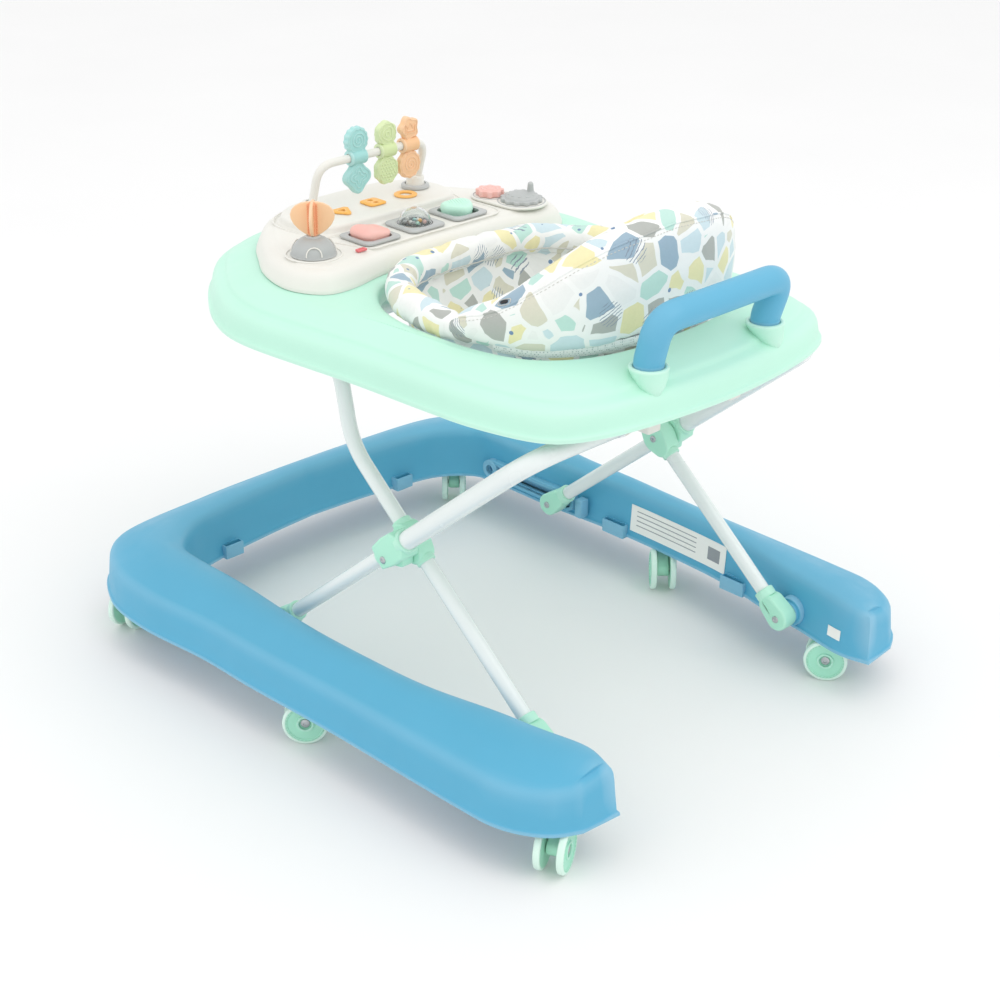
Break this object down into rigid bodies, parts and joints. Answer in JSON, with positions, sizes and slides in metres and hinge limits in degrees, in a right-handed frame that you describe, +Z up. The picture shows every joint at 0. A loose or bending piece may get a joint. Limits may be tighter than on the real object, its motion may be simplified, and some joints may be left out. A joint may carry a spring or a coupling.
{
  "type": "baby walker",
  "caption": "Folding baby walker with a U-shaped caster base, scissor tube frame, toy tray, padded sling seat and rear push handle.",
  "frame": {"origin": "on the floor under the middle of the base's outline", "axes": "+X to the walker's left side, -Y to the front (toy end), +Y to the open rear, +Z up"},
  "size_m": [0.631, 0.763, 0.5623],
  "materials": {
    "base_blue": "satin",
    "tray_mint": "satin",
    "fitting_mint": "satin",
    "tube_white": "gloss",
    "panel_white": "satin",
    "toy_grey": "satin",
    "toy_pink": "satin",
    "toy_orange": "satin",
    "toy_teal": "satin",
    "toy_lime": "satin",
    "toy_yellow": "satin",
    "toy_red": "satin",
    "clear_plastic": "gloss",
    "seat_fabric": "matte"
  },
  "bodies": {
    "base": {"base_shell": "base_blue"},
    "caster_front_left": {"caster_housing_front_left": "fitting_mint"},
    "wheels_front_left": {"caster_wheels_front_left": "fitting_mint"},
    "caster_front_right": {"caster_housing_front_right": "fitting_mint"},
    "wheels_front_right": {"caster_wheels_front_right": "fitting_mint"},
    "caster_middle_left": {"caster_housing_middle_left": "fitting_mint"},
    "wheels_middle_left": {"caster_wheels_middle_left": "fitting_mint"},
    "caster_middle_right": {"caster_housing_middle_right": "fitting_mint"},
    "wheels_middle_right": {"caster_wheels_middle_right": "fitting_mint"},
    "caster_rear_left": {"caster_housing_rear_left": "fitting_mint"},
    "wheels_rear_left": {"caster_wheels_rear_left": "fitting_mint"},
    "caster_rear_right": {"caster_housing_rear_right": "fitting_mint"},
    "wheels_rear_right": {"caster_wheels_rear_right": "fitting_mint"},
    "front_frame": {"front_arm_hoop": "tube_white", "rear_foot_left": "fitting_mint", "rear_foot_right": "fitting_mint", "cross_sleeve_left": "fitting_mint", "cross_sleeve_right": "fitting_mint"},
    "slider_frame": {"slider_foot_left": "fitting_mint", "slider_foot_right": "fitting_mint", "lower_arm_left": "tube_white", "lower_arm_right": "tube_white", "cross_block_left": "fitting_mint", "cross_block_right": "fitting_mint", "upper_arm_hoop": "tube_white"},
    "slider_pair": {"slider_left": "fitting_mint", "slider_right": "fitting_mint"},
    "tray": {"tray": "tray_mint", "rear_clip_left": "tube_white", "rear_clip_right": "tube_white", "adjuster_rail_left": "fitting_mint", "adjuster_rail_right": "fitting_mint", "push_handle": "base_blue", "handle_collar_left": "tray_mint", "handle_collar_right": "tray_mint", "toy_panel": "panel_white", "bezel_left": "toy_grey", "bezel_middle": "toy_grey", "bezel_right": "toy_grey", "rattle_dome": "clear_plastic", "spinner_base": "toy_grey", "gear_base": "panel_white", "bar_post_left": "panel_white", "bar_post_right": "panel_white", "toy_bar": "tube_white", "shape_triangle": "toy_yellow", "shape_square": "toy_yellow", "shape_ring": "toy_yellow", "seat_roll": "seat_fabric", "seat_back": "seat_fabric", "seat_sling": "seat_fabric"},
    "spinner": {"spinner": "toy_orange"},
    "gear_knob": {"gear_knob": "toy_grey"},
    "gear_pinion": {"gear_pinion": "toy_pink"},
    "charm_flower": {"charm_flower": "toy_teal"},
    "charm_dots": {"charm_dots": "toy_lime"},
    "charm_spiral": {"charm_spiral": "toy_orange"},
    "wave_button": {"wave_button": "toy_pink"},
    "heart_button": {"heart_button": "tray_mint"},
    "slide_switch": {"slide_switch": "toy_red"}
  },
  "joints": [
    {"name": "swivel_front_left", "type": "hinge", "parent": "base", "child": "caster_front_left", "pos_m": [0.246, -0.314, 0.0522], "axis": [0, 0, 1], "continuous": true},
    {"name": "roll_front_left", "type": "hinge", "parent": "caster_front_left", "child": "wheels_front_left", "pos_m": [0.27263, -0.30535, 0.024], "axis": [0.309, -0.9511, 0], "continuous": true},
    {"name": "swivel_front_right", "type": "hinge", "parent": "base", "child": "caster_front_right", "pos_m": [-0.246, -0.314, 0.0522], "axis": [0, 0, 1], "continuous": true},
    {"name": "roll_front_right", "type": "hinge", "parent": "caster_front_right", "child": "wheels_front_right", "pos_m": [-0.2262, -0.2942, 0.024], "axis": [0.7071, -0.7071, 0], "continuous": true},
    {"name": "swivel_middle_left", "type": "hinge", "parent": "base", "child": "caster_middle_left", "pos_m": [0.258, 0.037, 0.0522], "axis": [0, 0, 1], "continuous": true},
    {"name": "roll_middle_left", "type": "hinge", "parent": "caster_middle_left", "child": "wheels_middle_left", "pos_m": [0.2778, 0.0172, 0.024], "axis": [-0.7071, -0.7071, 0], "continuous": true},
    {"name": "swivel_middle_right", "type": "hinge", "parent": "base", "child": "caster_middle_right", "pos_m": [-0.258, 0.037, 0.0522], "axis": [0, 0, 1], "continuous": true},
    {"name": "roll_middle_right", "type": "hinge", "parent": "caster_middle_right", "child": "wheels_middle_right", "pos_m": [-0.2382, 0.0568, 0.024], "axis": [0.7071, -0.7071, 0], "continuous": true},
    {"name": "swivel_rear_left", "type": "hinge", "parent": "base", "child": "caster_rear_left", "pos_m": [0.229, 0.34, 0.0522], "axis": [0, 0, 1], "continuous": true},
    {"name": "roll_rear_left", "type": "hinge", "parent": "caster_rear_left", "child": "wheels_rear_left", "pos_m": [0.25417, 0.35227, 0.024], "axis": [0.4384, -0.8988, 0], "continuous": true},
    {"name": "swivel_rear_right", "type": "hinge", "parent": "base", "child": "caster_rear_right", "pos_m": [-0.229, 0.34, 0.0522], "axis": [0, 0, 1], "continuous": true},
    {"name": "roll_rear_right", "type": "hinge", "parent": "caster_rear_right", "child": "wheels_rear_right", "pos_m": [-0.215, 0.31575, 0.024], "axis": [-0.866, -0.5, 0], "continuous": true},
    {"name": "fold", "type": "hinge", "parent": "base", "child": "front_frame", "pos_m": [0, 0.271, 0.066], "axis": [1, 0, 0], "range_deg": [0, 30]},
    {"name": "cross", "type": "hinge", "parent": "front_frame", "child": "slider_frame", "pos_m": [0, 0.08485, 0.2222], "axis": [1, 0, 0], "range_deg": [-60.5, 0]},
    {"name": "tray_level", "type": "hinge", "parent": "slider_frame", "child": "tray", "pos_m": [0, 0.27177, 0.37904], "axis": [1, 0, 0], "range_deg": [0, 30.5]},
    {"name": "slider_level", "type": "hinge", "parent": "slider_frame", "child": "slider_pair", "pos_m": [0, -0.1013, 0.066], "axis": [1, 0, 0], "range_deg": [0, 30.5]},
    {"name": "spinner_turn", "type": "hinge", "parent": "tray", "child": "spinner", "pos_m": [0.141, -0.113, 0.4829], "axis": [0, 0, 1], "continuous": true},
    {"name": "gear_knob_turn", "type": "hinge", "parent": "tray", "child": "gear_knob", "pos_m": [-0.14, -0.092, 0.4669], "axis": [0, 0, 1], "continuous": true},
    {"name": "gear_pinion_turn", "type": "hinge", "parent": "tray", "child": "gear_pinion", "pos_m": [-0.12957, -0.13165, 0.4669], "axis": [0, 0, 1], "continuous": true},
    {"name": "charm_flower_turn", "type": "hinge", "parent": "tray", "child": "charm_flower", "pos_m": [0.024, -0.18, 0.5293], "axis": [1, 0, 0], "continuous": true},
    {"name": "charm_dots_turn", "type": "hinge", "parent": "tray", "child": "charm_dots", "pos_m": [-0.018, -0.18, 0.5293], "axis": [1, 0, 0], "continuous": true},
    {"name": "charm_spiral_turn", "type": "hinge", "parent": "tray", "child": "charm_spiral", "pos_m": [-0.051, -0.18, 0.5293], "axis": [1, 0, 0], "continuous": true},
    {"name": "wave_button_press", "type": "slide", "parent": "tray", "child": "wave_button", "axis": [0, 0, -1], "range_m": [0, 0.003], "stiffness_N_per_m": 300, "springref_m": -0.002},
    {"name": "heart_button_press", "type": "slide", "parent": "tray", "child": "heart_button", "axis": [0, 0, -1], "range_m": [0, 0.003], "stiffness_N_per_m": 300, "springref_m": -0.002},
    {"name": "switch_slide", "type": "slide", "parent": "tray", "child": "slide_switch", "axis": [1, 0, 0], "range_m": [0, 0.004]}
  ],
  "couplings": [
    {"joint": "cross", "follows": "fold", "ratio": -2},
    {"joint": "tray_level", "follows": "fold", "ratio": 1},
    {"joint": "slider_level", "follows": "fold", "ratio": 1},
    {"joint": "gear_pinion_turn", "follows": "gear_knob_turn", "ratio": -1.5}
  ]
}
